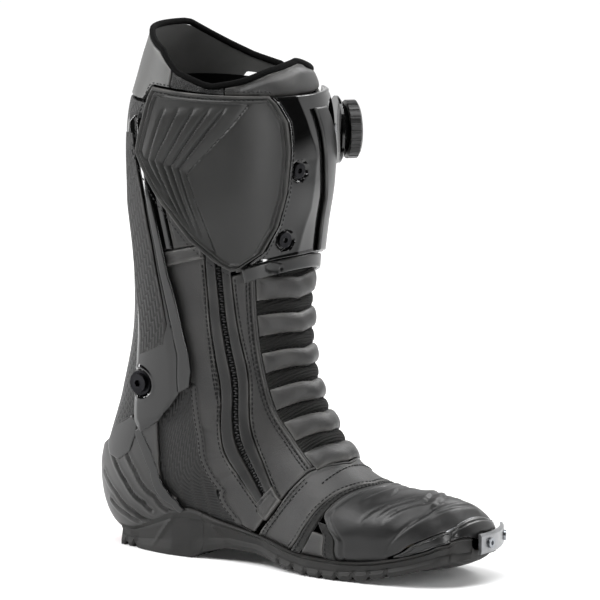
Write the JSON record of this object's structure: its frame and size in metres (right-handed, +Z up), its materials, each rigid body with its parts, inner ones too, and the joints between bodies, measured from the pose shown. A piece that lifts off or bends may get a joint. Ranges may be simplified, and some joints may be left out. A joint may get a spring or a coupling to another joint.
{
  "type": "riding boot",
  "caption": "Tall left motorcycle riding boot with zip, hinged calf flap, rigid shin plate, pivoting ankle braces, lacing dial, toe slider and moulded heel cup.",
  "frame": {"origin": "middle of the footprint box on the floor under the sole", "axes": "+X to the toe, +Y to the lateral side, +Z up the leg"},
  "size_m": [0.2967, 0.1438, 0.3495],
  "materials": {
    "board": "pressed fibre",
    "collar_leather": "smooth",
    "cup_plastic": "moulded, satin",
    "flap_rubber": "matte",
    "foam": "foam with textile top",
    "gloss_plastic": "polished",
    "guard_rubber": "satin",
    "hook_textile": "looped pile",
    "knob_plastic": "moulded with grip notches",
    "leather": "fine grain",
    "lining": "knit",
    "matte_plastic": "moulded",
    "red_rubber": "moulded",
    "slider_metal": "machined",
    "sole_rubber": "moulded",
    "steel": "brushed",
    "stretch_textile": "ribbed stretch weave",
    "suede": "napped",
    "toe_rubber": "satin",
    "twill": "twill weave under satin resin",
    "zip_coil": "moulded coil",
    "zip_metal": "gunmetal",
    "zip_textile": "woven tape"
  },
  "bodies": {
    "foot": {"outsole": "sole_rubber", "heel_block": "sole_rubber", "shank": "steel", "insole_board": "board", "heel_lift": "foam", "footbed": "foam", "toe_puff": "board", "heel_counter": "board", "heel_cup": "cup_plastic", "heel_insert": "red_rubber", "ankle_panel_medial": "twill", "ankle_panel_lateral": "twill", "pivot_strut_medial": "matte_plastic", "pivot_strut_lateral": "matte_plastic", "pivot_screw_medial": "steel", "pivot_screw_lateral": "steel", "vamp": "leather", "suede_band": "suede", "vamp_gusset": "leather", "toe_cover": "toe_rubber", "toe_slider_base": "matte_plastic", "toe_slider_plate": "slider_metal", "toe_slider_screws": "steel", "foot_lining": "lining"},
    "leg": {"shaft_lining": "lining", "stretch_panel": "stretch_textile", "flex_rib_1": "leather", "flex_rib_2": "leather", "flex_rib_3": "leather", "flex_rib_4": "leather", "flex_rib_5": "leather", "flex_rib_6": "leather", "front_leather": "leather", "side_leather_medial": "leather", "side_leather_lateral": "leather", "upper_front_panel": "leather", "rear_panel": "twill", "zip_tape": "zip_textile", "zip_teeth": "zip_coil", "zip_guard_front": "guard_rubber", "zip_guard_rear": "guard_rubber", "front_collar": "leather", "rear_collar": "collar_leather", "collar_binding": "lining", "hook_patch": "hook_textile", "shin_plate": "gloss_plastic", "shin_strip": "matte_plastic", "shin_screws": "steel", "calf_frame_medial": "gloss_plastic", "calf_frame_lateral": "gloss_plastic", "brace_arm_medial": "twill", "brace_arm_lateral": "twill", "brace_frame_medial": "gloss_plastic", "brace_frame_lateral": "gloss_plastic", "pivot_bushes": "steel", "dial_base": "gloss_plastic"},
    "flap": {"calf_flap": "flap_rubber"},
    "zip_runner": {"zip_slider": "zip_metal"},
    "dial_core": {"dial_spindle": "steel"},
    "knob": {"dial_knob": "knob_plastic"}
  },
  "joints": [
    {"name": "ankle_flex", "type": "hinge", "parent": "foot", "child": "leg", "pos_m": [-0.088, 0, 0.114], "axis": [0, 1, 0], "range_deg": [-4, 16], "stiffness_Nm_per_rad": 30, "deforming": ["stretch_panel", "flex_rib_1", "flex_rib_2", "flex_rib_3", "flex_rib_4", "flex_rib_5", "flex_rib_6", "front_leather", "side_leather_medial", "side_leather_lateral", "zip_tape", "zip_teeth", "zip_guard_front", "zip_guard_rear", "shaft_lining", "rear_panel"]},
    {"name": "flap_open", "type": "hinge", "parent": "leg", "child": "flap", "pos_m": [0.0125, -0.0265, 0.26], "axis": [0, -0.02, 0.9998], "range_deg": [0, 100]},
    {"name": "zip_slide", "type": "slide", "parent": "leg", "child": "zip_runner", "axis": [-0.0671, 0.0649, -0.9956], "range_m": [0, 0.083]},
    {"name": "dial_pull", "type": "slide", "parent": "leg", "child": "dial_core", "axis": [0.6841, 0.7293, 0.0086], "range_m": [0, 0.003]},
    {"name": "dial_turn", "type": "hinge", "parent": "dial_core", "child": "knob", "pos_m": [-0.00576, 0.04941, 0.27466], "axis": [0.6841, 0.7293, 0.0086], "continuous": true}
  ]
}
